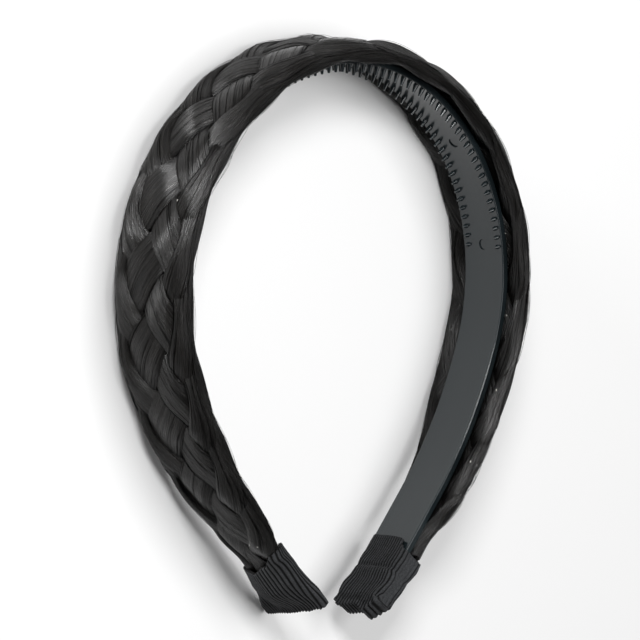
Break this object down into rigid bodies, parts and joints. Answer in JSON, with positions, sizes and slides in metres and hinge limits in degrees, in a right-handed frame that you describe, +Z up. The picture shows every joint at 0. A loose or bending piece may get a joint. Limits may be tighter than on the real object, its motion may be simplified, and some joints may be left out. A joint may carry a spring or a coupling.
{
  "type": "braided hair headband",
  "caption": "Open plastic headband with comb teeth, covered by a wide flat braid of dark synthetic hair, with ribbon sleeves on its tips.",
  "frame": {"origin": "centre of the bounding box's floor side, with the headband lying on one long edge of its braid", "axes": "+Z up, across the band; +Y from the open tips to the crown; +X to the wearer's one side, square to both"},
  "size_m": [0.1266, 0.1466, 0.027],
  "materials": {
    "band_plastic": "glossy moulded, dark slate grey",
    "hair_fibre": "fine parallel synthetic fibres with a soft sheen",
    "sleeve_ribbon": "matte ribbed grosgrain"
  },
  "bodies": {
    "root": {"comb_band": "band_plastic", "braid_strand_1": "hair_fibre", "braid_strand_2": "hair_fibre", "braid_strand_3": "hair_fibre", "braid_strand_4": "hair_fibre", "braid_strand_5": "hair_fibre", "end_cap_left": "sleeve_ribbon", "end_cap_right": "sleeve_ribbon"}
  },
  "joints": []
}
